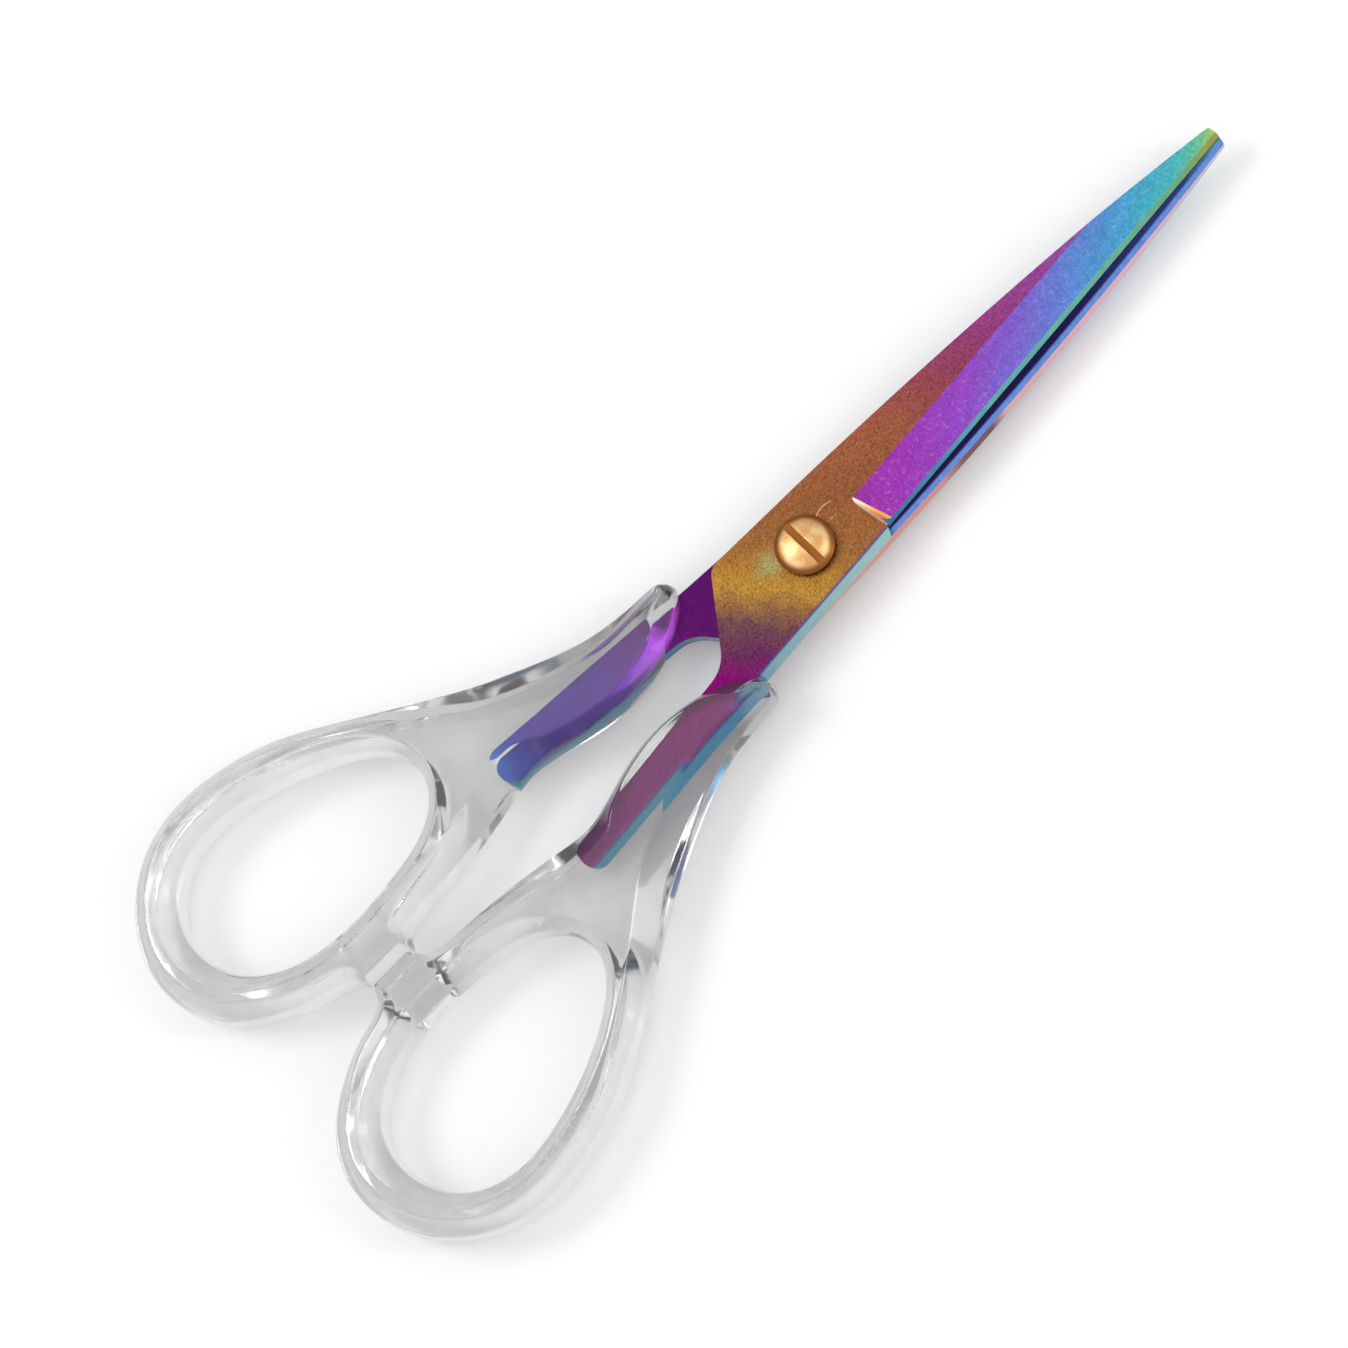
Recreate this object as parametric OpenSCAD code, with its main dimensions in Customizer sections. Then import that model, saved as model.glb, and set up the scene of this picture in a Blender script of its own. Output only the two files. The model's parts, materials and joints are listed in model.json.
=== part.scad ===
// Scissors with a slotted pivot screw and moulded clear handles.
// Two equal halves: each is a flat steel blade whose tang sits in a one-piece plastic handle.
// The back half is the front half turned half a turn about the long axis (X).
// X runs along the scissors towards the tips, Z up through the pivot, Z = 0 under the handles.

/* [Blades] */
// Distance from the pivot's centre to the blade tips
blade_reach = 68.8; // [50:0.2:90]
// Thickness of each blade and of its tang
blade_t = 2; // [1.6:0.1:2.6]
// Gap between the flat inner faces of the two blades
blade_gap = 0.1; // [0.04:0.02:0.2]
// Height of the spine above the pivot's centre
spine_rise = 6.3; // [5.2:0.1:8]
// How far the spine bows up at mid blade, above a straight line
spine_bow = 0.75; // [0:0.05:1.5]
// Depth of the lower edge below the pivot's centre
ricasso_drop = 6.55; // [5.4:0.05:8]
// Slope of the lower edge, in degrees
ricasso_tilt = 3.2; // [0:0.1:6]
// Height of the tip's upper corner above the long axis
tip_rise = 1.25; // [0.6:0.05:2]
// Width of the blunt tip
tip_w = 1.5; // [0.8:0.1:2]

/* [Ground bevel] */
// Distance from the pivot's centre forward to the step where the ground bevel starts
grind_x = 7.5; // [7:0.1:12]
// Height of the bevel's upper line at that step
grind_rise = 0.1; // [-1:0.1:1.5]
// Slope of the bevel's upper line, in degrees
grind_tilt = 4; // [2:0.1:5]
// Width of the sloping wall at the step
step_w = 0.9; // [0.3:0.1:1.5]
// Turn of the step's line away from square to the long axis, in degrees
step_skew = 8.8; // [0:0.2:15]
// Depth of the cutting edge below the pivot's centre, where it starts
edge_drop = 5; // [4.2:0.1:6]
// Thickness that the bevel leaves where it meets the honed edge
edge_t = 0.35; // [0.2:0.05:0.6]
// Width of the narrow honed face along the cutting edge
hone_w = 0.4; // [0.3:0.05:1]
// How far the lower side leans in at the outer face
side_lean = 0.7; // [0.2:0.1:1]

/* [Tangs] */
// Distance of the tang's centre line below the pivot's centre, carried on to the pivot
tang_drop = 4; // [3:0.1:5]
// Slope of the tang's centre line, in degrees
tang_tilt = 5.3; // [3:0.1:8]
// Width of the tang where it enters the handle
tang_root_w = 4.65; // [3.8:0.05:5.6]
// Width of the tang at its far end
tang_end_w = 4; // [3.2:0.1:4.8]
// Distance between the tang's end and the front of the bow
tang_end_gap = 0.4; // [0:0.1:2]

/* [Handles] */
// Distance from the pivot's centre back to the far end of the handles
handle_reach = 91.2; // [75:0.2:112]
// Thickness of the handles
handle_t = 9; // [7.5:0.1:11]
// Length of each bow, which is the closed loop around the fingers
bow_l = 46; // [38:0.5:56]
// Width of each bow
bow_w = 31.3; // [27:0.1:38]
// Space between the two bows when the scissors are closed
bow_gap = 4.7; // [3:0.1:7]
// Length of the finger hole
hole_l = 34; // [28:0.5:40]
// Width of the finger hole
hole_w = 20.9; // [17:0.1:25]
// Wall of the bow at its far end
far_rim = 6.4; // [4:0.1:8]
// Wall of the bow on the side that faces the other bow
inner_rim = 5.1; // [4:0.1:8]
// Distance from the pivot's centre back to the front end of the handles
shank_front = 14.3; // [13:0.1:18]
// Width of the soft rim around the top and bottom faces
rim_r = 1.1; // [0.5:0.1:1.3]
// Gap between the two stop pads when the scissors are closed
stop_gap = 0.2; // [0.1:0.05:0.4]
// Length of each stop pad
stop_l = 6.4; // [4:0.2:10]

/* [Pivot] */
// Diameter of the sleeve that the front blade turns on
sleeve_d = 4.4; // [3.6:0.1:5.4]
// Diameter of the screw's shank inside the sleeve
shank_d = 3; // [2:0.1:3.4]
// Diameter of the domed heads of the screw and of the sleeve nut
head_d = 7.3; // [6.4:0.1:9]
// Height of the straight rim of each head
head_rim = 0.5; // [0.3:0.05:0.8]
// Height of each dome above its rim
head_dome = 1.1; // [0.6:0.1:1.3]
// Width of the screwdriver slot
slot_w = 0.95; // [0.6:0.05:1.2]
// Depth of the screwdriver slot below the top of the dome
slot_depth = 0.9; // [0.5:0.05:1.2]
// Outer diameter of the spring washer
washer_d = 6.2; // [5.6:0.1:7]
// Thickness of the spring washer
washer_t = 0.35; // [0.2:0.05:0.5]

/* [Fits] */
// Radial clearance of the front blade on the sleeve
turning_clearance = 0.05; // [0.02:0.01:0.1]
// Clearance around pieces that are assembled and stay still
seat_clearance = 0.03; // [0.02:0.01:0.06]

/* [Hidden] */

ARC_STEPS = 6;
CURVE_STEPS = 4;
SPINE_STEPS = 12;
ROUND_STEPS = 64;
DOME_STEPS = 96;

// Shares the overall length evenly about the origin and sets the handles on Z = 0
row_shift = [(handle_reach - blade_reach) / 2, 0, handle_t / 2];

blade_bottom = blade_gap / 2;
blade_top = blade_bottom + blade_t;

// The lower edge starts just ahead of the step, behind a short notch
step_margin = 0.2;
notch_l = 0.7;
choil_x = grind_x + step_w + step_margin;
ricasso_x = choil_x - notch_l;
edge_start = [choil_x, -edge_drop];
edge_end = [blade_reach, tip_rise - tip_w];
edge_tilt = atan((edge_end.y - edge_start.y) / (edge_end.x - edge_start.x));
grind_w = (grind_rise - edge_start.y) * cos(grind_tilt);
grind_pitch = atan((blade_t - edge_t) / grind_w);
edge_land = 0.05;
hone_pitch = atan((edge_t + hone_w * tan(grind_pitch) - edge_land) / hone_w);

// Places where the blade's outline turns into the tang
spine_end_x = -9.7;
arch_x = -17.1;
root_x = -13;

// Corner radii of the blade's outline
tip_low_r = 0.25;
tip_high_r = 0.35;
tip_back = 0.3;
spine_end_r = 2;
arch_r = 5;
tang_end_r = 1.8;
root_r = 8;
notch_r = 0.3;

// Shape of the soft rim, as shares of its width
rim_mid_inset = 0.35;
rim_mid_drop = 0.6;
rim_end_drop = 1.6;

// Stop pads: place along the bow as a share of its length, and run-in at each end
stop_place = 0.47;
stop_ramp = 1.2;
stop_crown = 0.15;
stop_corner = 1;
stop_sink = 0.1;

// Cutting shapes reach past what they cut by this much, or by a safe length
cut_margin = 0.5;
far = 2 * (blade_reach + handle_reach);

shank_l = handle_reach - bow_l - shank_front;
tang_reach = handle_reach - bow_l - tang_end_gap;
hole_centre = [hole_l / 2 + far_rim - handle_reach, (bow_gap + hole_w) / 2 + inner_rim];

head_base = blade_top + washer_t + seat_clearance;
dome_r = (pow(head_d / 2, 2) + pow(head_dome, 2)) / (2 * head_dome);
head_top = head_base + head_rim + head_dome;

// Height of the spine at a distance along the blade
function spine_y(x) =
    let (t = x / blade_reach)
    spine_rise + (tip_rise - spine_rise) * t + 4 * spine_bow * t * (1 - t);

// Lower edge of the wide part of the blade around the pivot
function ricasso_y(x) = x * tan(ricasso_tilt) - ricasso_drop;

// Centre line and half width of the tang, which narrows towards its end
function tang_y(x) = x * tan(tang_tilt) - tang_drop;
function tang_half(x) =
    let (t = (-x - shank_front) / (tang_reach - shank_front))
    (tang_root_w + (tang_end_w - tang_root_w) * t) / 2;

function unit(v) = v / norm(v);
function item(list, i) = list[(i + len(list)) % len(list)];

// Arc of radius r that replaces corner b between its neighbours a and c
function corner_arc(a, b, c, r) =
    let (
        u = unit(a - b),
        v = unit(c - b),
        half_angle = acos(u * v) / 2,
        centre = b + unit(u + v) * r / sin(half_angle),
        from = b + u * r / tan(half_angle) - centre,
        to = b + v * r / tan(half_angle) - centre,
        start = atan2(from.y, from.x),
        turn = atan2(from.x * to.y - from.y * to.x, from * to)
    )
    [for (i = [0 : ARC_STEPS])
        centre + r * [cos(start + turn * i / ARC_STEPS), sin(start + turn * i / ARC_STEPS)]];

function flat(p) = [p.x, p.y];

// Outline through corners [x, y, radius], with radius 0 for a sharp corner
function rounded(corners) =
    [for (i = [0 : len(corners) - 1])
        let (b = corners[i])
        each b.z == 0
            ? [flat(b)]
            : corner_arc(flat(item(corners, i - 1)), flat(b), flat(item(corners, i + 1)), b.z)];

// Direction of a closed curve at one of its points
function heading(pts, i) = unit(item(pts, i + 1) - item(pts, i - 1));

function bezier(a, b, c, d, t) =
    pow(1 - t, 3) * a + 3 * pow(1 - t, 2) * t * b + 3 * (1 - t) * t * t * c + t * t * t * d;

// Smooth closed curve through a few points
function smooth(pts) =
    [for (i = [0 : len(pts) - 1])
        let (
            a = pts[i],
            d = item(pts, i + 1),
            reach = norm(d - a) / 3
        )
        for (k = [0 : CURVE_STEPS - 1])
            bezier(a, a + reach * heading(pts, i), d - reach * heading(pts, i + 1), d,
                k / CURVE_STEPS)];

// Outline moved inwards by a distance, or outwards where the distance is negative.
// Outlines run anticlockwise, seen from above.
function inset(pts, distance) =
    [for (i = [0 : len(pts) - 1])
        let (h = heading(pts, i))
        pts[i] + distance * [-h.y, h.x]];

// Solid through a stack of outlines, each level given as [inset, height]
module loft(outline, levels) {
    n = len(outline);
    top = len(levels) - 1;
    points = [for (level = levels) for (p = inset(outline, level[0])) [p.x, p.y, level[1]]];
    sides = [for (k = [0 : top - 1]) for (i = [0 : n - 1])
        [k * n + i, (k + 1) * n + i, (k + 1) * n + (i + 1) % n, k * n + (i + 1) % n]];
    bottom_face = [for (i = [0 : n - 1]) i];
    top_face = [for (i = [n - 1 : -1 : 0]) top * n + i];
    polyhedron(points, concat([bottom_face], sides, [top_face]));
}

// Upper and lower sides of the tang
function tang_high(x) = tang_y(x) + tang_half(x);
function tang_low(x) = tang_y(x) - tang_half(x);

module blade_outline() {
    polygon(rounded(concat(
        [[blade_reach, edge_end.y, tip_low_r], [blade_reach - tip_back, tip_rise, tip_high_r]],
        [for (i = [1 : SPINE_STEPS - 1])
            let (x = blade_reach * (1 - i / SPINE_STEPS))
            [x, spine_y(x), 0]],
        [[spine_end_x, spine_y(spine_end_x), spine_end_r],
         [arch_x, tang_high(arch_x), arch_r],
         [-tang_reach, tang_high(-tang_reach), tang_end_r],
         [-tang_reach, tang_low(-tang_reach), tang_end_r],
         [root_x, tang_low(root_x), root_r],
         [ricasso_x, ricasso_y(ricasso_x), notch_r],
         [edge_start.x, edge_start.y, 0]])));
}

// Wedge that the grinding wheel takes off the outer face, back to its sloping step
module ground_bevel() {
    start = [grind_x, grind_rise, blade_top];
    step_lean = atan(step_w / (blade_t - edge_t));
    intersection() {
        translate(start) rotate([grind_pitch, 0, grind_tilt])
            translate([-far / 2, -far, 0]) cube([far, far, far]);
        translate(start) rotate([0, -step_lean, step_skew])
            translate([0, -far, -far]) cube([far, 2 * far, 2 * far]);
    }
}

// Narrow steep face that makes the cutting edge
module honed_face() {
    translate([edge_start.x, edge_start.y, blade_bottom + edge_land])
        rotate([hone_pitch, 0, edge_tilt])
            translate([0, -far / 2, 0]) cube(far);
}

// Leaning cut along the lower side, from one point of the outline to another
module leaning_cut(from, to) {
    run = to - from;
    translate([from.x, from.y, blade_bottom])
        rotate([-atan(side_lean / blade_t), 0, atan2(run.y, run.x)])
            translate([-cut_margin, -far, -blade_t])
                cube([norm(run) + 2 * cut_margin, far, far]);
}

// Lean of the lower side from the tang's end to the notch behind the cutting edge
module leaning_side() {
    tang_end = [-tang_reach, tang_low(-tang_reach)];
    root = [root_x, tang_low(root_x)];
    notch = [ricasso_x, ricasso_y(ricasso_x)];
    leaning_cut(tang_end, root);
    leaning_cut(root, notch);
}

module blade(bore_d) {
    difference() {
        translate([0, 0, blade_bottom]) linear_extrude(blade_t) blade_outline();
        ground_bevel();
        honed_face();
        leaning_side();
        cylinder(d = bore_d, h = far, center = true, $fn = ROUND_STEPS);
    }
}

// Space for the tang inside the handle, open at the handle's front end
module tang_slot() {
    end_x = -tang_reach - seat_clearance;
    end_r = tang_end_r - seat_clearance;
    front_x = cut_margin - shank_front;
    translate([0, 0, blade_bottom - seat_clearance])
        linear_extrude(blade_t + 2 * seat_clearance)
            polygon(rounded([
                [end_x, tang_high(end_x) + seat_clearance, end_r],
                [end_x, tang_low(end_x) - seat_clearance, end_r],
                [front_x, tang_low(front_x) - seat_clearance, 0],
                [front_x, tang_high(front_x) + seat_clearance, 0]]));
}

// Handle on the back tang.
// Shank points are [share of the shank's length, wall beside the tang]; bow points are on a
// square from -1 to 1 that is stretched to the bow.
module handle() {
    function shank_x(t) = -shank_front - t * shank_l;
    inner_shank = [for (p = [[0.9, 0.9], [0.78, 1], [0.65, 1.75], [0.51, 2.1], [0.38, 1.7],
                             [0.26, 0.7], [0.18, -0.4], [0.11, -1.6], [0.035, -3.5]])
        [shank_x(p.x), -tang_y(shank_x(p.x)) - tang_half(shank_x(p.x)) - p.y]];
    outer_shank = [for (p = [[0, 0.8], [0.012, 1.9], [0.05, 2.6], [0.18, 2.5], [0.35, 2.9],
                             [0.51, 4.2], [0.67, 6.1], [0.84, 8.3]])
        [shank_x(p.x), -tang_y(shank_x(p.x)) + tang_half(shank_x(p.x)) + p.y]];
    bow = [for (p = [[0.8, 0.39], [0.36, 0.78], [0.05, 0.94], [-0.26, 1], [-0.55, 0.92],
                     [-0.8, 0.67], [-0.95, 0.34], [-1, 0], [-0.95, -0.35], [-0.8, -0.64],
                     [-0.5, -0.9]])
        [bow_l * (1 + p.x) / 2 - handle_reach, (bow_gap + bow_w * (1 + p.y)) / 2]];
    inner_bow = [for (u = [0.4, 0.8])
        [bow_l * (1 + u) / 2 - handle_reach, bow_gap / 2 + 2 * u * u]];
    stop_x = bow_l * stop_place - handle_reach;
    stop_pad = [for (p = [[-stop_l / 2 - stop_ramp, bow_gap / 2 - stop_sink],
                          [-stop_l / 2, stop_gap / 2 + stop_crown],
                          [stop_corner - stop_l / 2, stop_gap / 2],
                          [stop_l / 2 - stop_corner, stop_gap / 2],
                          [stop_l / 2, stop_gap / 2 + stop_crown],
                          [stop_l / 2 + stop_ramp, bow_gap / 2 - stop_sink]])
        [stop_x + p.x, p.y]];
    finger_hole = [for (p = [[-0.9, -0.48], [-0.6, -0.85], [-0.15, -1], [0.3, -0.96],
                             [0.7, -0.83], [0.95, -0.5], [0.98, -0.06], [0.78, 0.34],
                             [0.4, 0.69], [0, 0.91], [-0.4, 0.99], [-0.73, 0.83],
                             [-0.93, 0.47], [-1, 0]])
        [hole_centre.x + p.x * hole_l / 2, hole_centre.y + p.y * hole_w / 2]];
    outline = smooth(concat(inner_shank, outer_shank, bow, stop_pad, inner_bow));
    half_t = handle_t / 2;
    rim = [[rim_r, half_t], [rim_mid_inset * rim_r, half_t - rim_mid_drop * rim_r],
           [0, half_t - rim_end_drop * rim_r]];
    hole_rim = concat([[2 * rim_r, half_t + cut_margin]], rim);
    difference() {
        loft(outline, both_sides(rim));
        loft(smooth(finger_hole), [for (level = both_sides(hole_rim)) [-level[0], level[1]]]);
        half_turn() tang_slot();
    }
}

// Levels of a loft that is the same above and below Z = 0, from its upper levels
function both_sides(upper) =
    concat([for (level = upper) [level[0], -level[1]]],
        [for (i = [len(upper) - 1 : -1 : 0]) upper[i]]);

// Turns a piece of the front half into its twin of the back half
module half_turn() {
    rotate([180, 0, 0]) children();
}

// Straight rim under a dome, standing on Z = 0
module domed_head() {
    intersection() {
        cylinder(d = head_d, h = head_rim + head_dome, $fn = ROUND_STEPS);
        translate([0, 0, head_rim + head_dome - dome_r]) sphere(r = dome_r, $fn = DOME_STEPS);
    }
}

module front_blade() {
    color("mediumorchid") translate(row_shift) blade(sleeve_d + 2 * turning_clearance);
}

module back_blade() {
    color("slateblue") translate(row_shift) half_turn() blade(sleeve_d + 2 * seat_clearance);
}

module front_handle() {
    color("gainsboro", 0.5) translate(row_shift) half_turn() handle();
}

module back_handle() {
    color("gainsboro", 0.5) translate(row_shift) handle();
}

module pivot_screw() {
    color("burlywood") translate(row_shift)
        difference() {
            union() {
                translate([0, 0, head_base]) domed_head();
                translate([0, 0, -blade_top])
                    cylinder(d = shank_d, h = head_base + blade_top, $fn = ROUND_STEPS);
            }
            translate([-slot_w / 2, -head_d, head_top - slot_depth])
                cube([slot_w, 2 * head_d, 2 * slot_depth]);
        }
}

module spring_washer() {
    color("goldenrod") translate(row_shift) translate([0, 0, blade_top])
        difference() {
            cylinder(d = washer_d, h = washer_t, $fn = ROUND_STEPS);
            translate([0, 0, -washer_t])
                cylinder(d = sleeve_d + 2 * turning_clearance, h = far, $fn = ROUND_STEPS);
        }
}

module sleeve_nut() {
    color("burlywood") translate(row_shift)
        difference() {
            union() {
                half_turn() translate([0, 0, blade_top]) domed_head();
                translate([0, 0, -blade_top])
                    cylinder(d = sleeve_d, h = head_base + blade_top, $fn = ROUND_STEPS);
            }
            translate([0, 0, -blade_top])
                cylinder(d = shank_d + 2 * seat_clearance, h = far, $fn = ROUND_STEPS);
        }
}

front_blade();
back_blade();
front_handle();
back_handle();
pivot_screw();
spring_washer();
sleeve_nut();
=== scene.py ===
# %% [markdown]
# # Scissors with rainbow steel blades and clear moulded handles
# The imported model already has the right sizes, so it is loaded first, as a fixed frame in metres.
# Everything below is placed from it: from the boxes of its parts, from its joint, and from
# slices through its own solids.

# %% Load the frame
import json
import math

import bmesh
import bpy
from mathutils import Matrix, Vector


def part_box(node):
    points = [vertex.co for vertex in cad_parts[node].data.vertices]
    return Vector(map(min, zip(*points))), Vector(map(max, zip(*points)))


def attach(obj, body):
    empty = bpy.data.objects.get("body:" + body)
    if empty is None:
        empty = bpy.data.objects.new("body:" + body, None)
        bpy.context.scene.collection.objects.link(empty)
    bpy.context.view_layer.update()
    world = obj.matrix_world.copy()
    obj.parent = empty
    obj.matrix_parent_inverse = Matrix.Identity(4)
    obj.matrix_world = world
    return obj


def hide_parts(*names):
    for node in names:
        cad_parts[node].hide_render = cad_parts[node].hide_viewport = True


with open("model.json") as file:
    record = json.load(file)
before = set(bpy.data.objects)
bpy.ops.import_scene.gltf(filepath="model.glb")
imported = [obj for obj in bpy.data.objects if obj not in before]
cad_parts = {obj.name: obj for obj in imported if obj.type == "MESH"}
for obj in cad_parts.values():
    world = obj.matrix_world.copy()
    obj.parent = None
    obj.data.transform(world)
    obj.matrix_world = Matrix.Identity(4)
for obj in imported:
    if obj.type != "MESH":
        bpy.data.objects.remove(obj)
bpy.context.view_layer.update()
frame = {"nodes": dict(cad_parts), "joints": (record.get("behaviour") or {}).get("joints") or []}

MM = 0.001
pivot = Vector(frame["joints"][0]["pos_m"])
print("parts in the frame:", sorted(frame["nodes"]))
print("pivot in mm:", [round(v / MM, 2) for v in pivot])


# %% [markdown]
# ## Camera
# The scissors lie flat and are seen from above with a long lens, so that hardly anything
# tapers with distance. The camera leans a little towards one long side and is rolled, which
# sets the blades pointing to the upper right. A look direction, a right and an up vector make
# that exact, where three turning angles would have to be guessed.

# %% Camera
LEAN = math.radians(18)
ROLL = math.radians(45.44)
CAMERA_DISTANCE = 0.62
FOCAL_MM = 140.22


def aim_camera(target, lean, roll, distance, focal):
    """Camera that looks at a target from above, leaning towards -Y and rolled about its view."""
    away = Vector((0, -math.sin(lean), math.cos(lean)))
    level = Vector((1, 0, 0))
    climb = Vector((0, math.cos(lean), math.sin(lean)))
    right = math.cos(roll) * level - math.sin(roll) * climb
    up = math.sin(roll) * level + math.cos(roll) * climb
    camera = bpy.data.objects.new("camera", bpy.data.cameras.new("camera"))
    turn = Matrix((right, up, away)).transposed().to_4x4()
    camera.matrix_world = Matrix.Translation(target + away * distance) @ turn
    camera.data.lens = focal
    camera.data.clip_start = 0.01
    bpy.context.scene.collection.objects.link(camera)
    bpy.context.scene.camera = camera


aim_camera(pivot + Vector((-21.61, 1.19, 0)) * MM, LEAN, ROLL, CAMERA_DISTANCE, FOCAL_MM)
bpy.context.scene.view_settings.view_transform = "Standard"
print("camera stands at", [round(v, 3) for v in bpy.context.scene.camera.matrix_world.translation])


# %% [markdown]
# ## Shader arithmetic
# Each finish below is a small formula over the surface: how far along the blade, how far from
# the spine, how grainy. Wiring Math nodes one by one hides that, so one class wraps a socket
# and lets Python's own operators add the nodes. One method adds every other kind of node.

# %% Sockets that can be added and multiplied
class Wire:
    """A shader socket. Arithmetic on it adds Math nodes to the same node tree."""

    def __init__(self, tree, socket):
        self.tree = tree
        self.socket = socket

    def node(self, kind, settings=None, sockets=None, output=0):
        """Adds a node, makes its settings first, then fills or links its sockets."""
        node = self.tree.nodes.new(kind)
        for name, value in (settings or {}).items():
            if name == "stops":
                fill_ramp(node.color_ramp, value)
            else:
                setattr(node, name, value)
        for name, value in (sockets or {}).items():
            if isinstance(value, Wire):
                self.tree.links.new(value.socket, node.inputs[name])
            else:
                node.inputs[name].default_value = value
        return Wire(self.tree, node.outputs[output]) if node.outputs else node

    def math(self, operation, *values):
        return self.node("ShaderNodeMath", {"operation": operation}, dict(enumerate(values)))

    def __add__(self, other):
        return self.math("ADD", self, other)

    def __radd__(self, other):
        return self.math("ADD", other, self)

    def __sub__(self, other):
        return self.math("SUBTRACT", self, other)

    def __rsub__(self, other):
        return self.math("SUBTRACT", other, self)

    def __mul__(self, other):
        return self.math("MULTIPLY", self, other)

    def __rmul__(self, other):
        return self.math("MULTIPLY", other, self)

    def __truediv__(self, other):
        return self.math("DIVIDE", self, other)

    def __abs__(self):
        return self.math("ABSOLUTE", self)

    def root(self):
        return self.math("SQRT", self)

    def step(self, start, end):
        """0 before start, 1 after end, and smooth between them."""
        sockets = {"Value": self, "From Min": start, "From Max": end}
        return self.node("ShaderNodeMapRange", {"interpolation_type": "SMOOTHSTEP"}, sockets)

    def mix(self, plain, other):
        """Colour that is plain where this wire is 0 and other where it is 1."""
        sockets = {0: self, 6: plain, 7: other}
        return self.node("ShaderNodeMix", {"data_type": "RGBA"}, sockets, output=2)

    def noise(self, size, detail=2.0, roughness=0.5):
        """Cloudy noise whose lumps are about size metres wide."""
        sockets = {"Vector": self, "Scale": 1 / size, "Detail": detail, "Roughness": roughness}
        return self.node("ShaderNodeTexNoise", None, sockets)

    def beside(self, name):
        """Another output of the node that this wire comes from."""
        return Wire(self.tree, self.socket.node.outputs[name])

    def parts(self):
        """The X, Y and Z of a vector."""
        x = self.node("ShaderNodeSeparateXYZ", None, {0: self})
        return x, x.beside("Y"), x.beside("Z")


def fill_ramp(ramp, stops):
    """Sets a colour ramp's stops, each a place from 0 to 1 and a colour."""
    while len(ramp.elements) < len(stops):
        ramp.elements.new(1.0)
    for element, (place, colour) in zip(ramp.elements, stops):
        element.position = place
        element.color = colour


def paint(red, green, blue):
    """A screen colour from 0 to 255, as the linear colour that shaders take."""
    def linear(value):
        value = value / 255
        return value / 12.92 if value <= 0.04045 else ((value + 0.055) / 1.055) ** 2.4
    return (linear(red), linear(green), linear(blue), 1.0)


def new_material(name, **constants):
    """A material with one Principled shader. Constants go straight onto its sockets."""
    material = bpy.data.materials.new(name)
    material.use_nodes = True
    tree = material.node_tree
    shader = tree.nodes["Principled BSDF"]
    for socket, value in constants.items():
        shader.inputs[socket.replace("_", " ")].default_value = value
    place = Wire(tree, None).node("ShaderNodeTexCoord", output="Object")
    return material, place, shader


def feed(shader, socket, wire):
    """Links a wire into a socket of the shader."""
    wire.tree.links.new(wire.socket, shader.inputs[socket])


def bump(shader, height, depth):
    """Raises the surface by height times depth, in metres."""
    feed(shader, "Normal", height.node("ShaderNodeBump", None, {"Height": height, "Distance": depth}))


print("mid grey as shaders take it:", [round(v, 3) for v in paint(128, 128, 128)])


# %% [markdown]
# ## Rainbow steel
# The blades are steel with a thin heat-like coating whose colour depends on its thickness, so
# it drifts along the blade: gold round the screw, brown and rose ahead of it, and on the
# ground bevel magenta, violet, blue and teal towards the tip. A colour ramp along the blade is
# the plainest way to say that. Each kind of face was finished by another tool, so each has a
# material of its own: blasted flat, ground bevel, honed edge, polished inside, sides and step.

# %% Where a point lies on a blade
RAMP_START = -46
RAMP_END = 70


def blade_place(place, side):
    """Distances in mm from the pivot: towards the tips, towards the spine, and outwards."""
    x, y, z = place.parts()
    return (x - pivot.x) / MM, (y - pivot.y) * side / MM, (z - pivot.z) * side / MM


def along(x, stops):
    """Colour ramp along a blade, whose stops are at distances in mm from the pivot."""
    span = RAMP_END - RAMP_START
    placed = [((at - RAMP_START) / span, paint(*colour)) for at, colour in stops]
    return x.node("ShaderNodeValToRGB", {"stops": placed}, {0: (x - RAMP_START) / span})


def lighten(colour, amount):
    """A colour multiplied by an amount that varies round 1."""
    grey = amount.node("ShaderNodeCombineXYZ", None, {0: amount, 1: amount, 2: amount})
    return colour.node("ShaderNodeVectorMath", {"operation": "MULTIPLY"}, {0: colour, 1: grey})


print("blade colours run from", RAMP_START, "to", RAMP_END, "mm")


# %% Blasted flat
BLASTED = [(-45, (112, 12, 98)), (-22, (120, 14, 102)), (-17, (98, 44, 84)), (-13, (106, 68, 74)),
           (-10.5, (136, 94, 64)), (-7, (172, 128, 54)), (-4, (164, 116, 50)), (-1, (150, 100, 54)),
           (6, (146, 92, 56)), (19, (156, 90, 64)), (27, (146, 70, 82)), (34, (146, 64, 114)),
           (46, (150, 70, 152)), (69, (90, 150, 190))]
PATCH = paint(158, 150, 96)
PATCH_PLACE = (-4.6, 1.4)
EDGE_PURPLE = paint(118, 46, 112)
LOWER_SLOPE = math.tan(math.radians(3.9))
LOWER_DROP = 6.65
SCRATCH = paint(214, 168, 104)
LONG_SCRATCH = ((4.68, -0.85), 2.84, 3.3, 6.0)
SHORT_SCRATCH = ((4.4, -1.6), 1.8, 3.9, 5.3)
GRIT_SIZE = 0.3 * MM
BLOTCH_SIZE = 1.1 * MM


def mottle(place, fine, coarse):
    """Noise round 0 in two sizes, fine grit and coarser blotches."""
    grit = place.noise(GRIT_SIZE, 2.0, 0.7) - 0.5
    blotch = place.noise(BLOTCH_SIZE, 2.0, 0.6) - 0.5
    return grit * fine + blotch * coarse, grit


def distance(x, y, centre):
    """How far a place is from a centre."""
    across = x - centre[0]
    up = y - centre[1]
    return (across * across + up * up).root()


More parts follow.
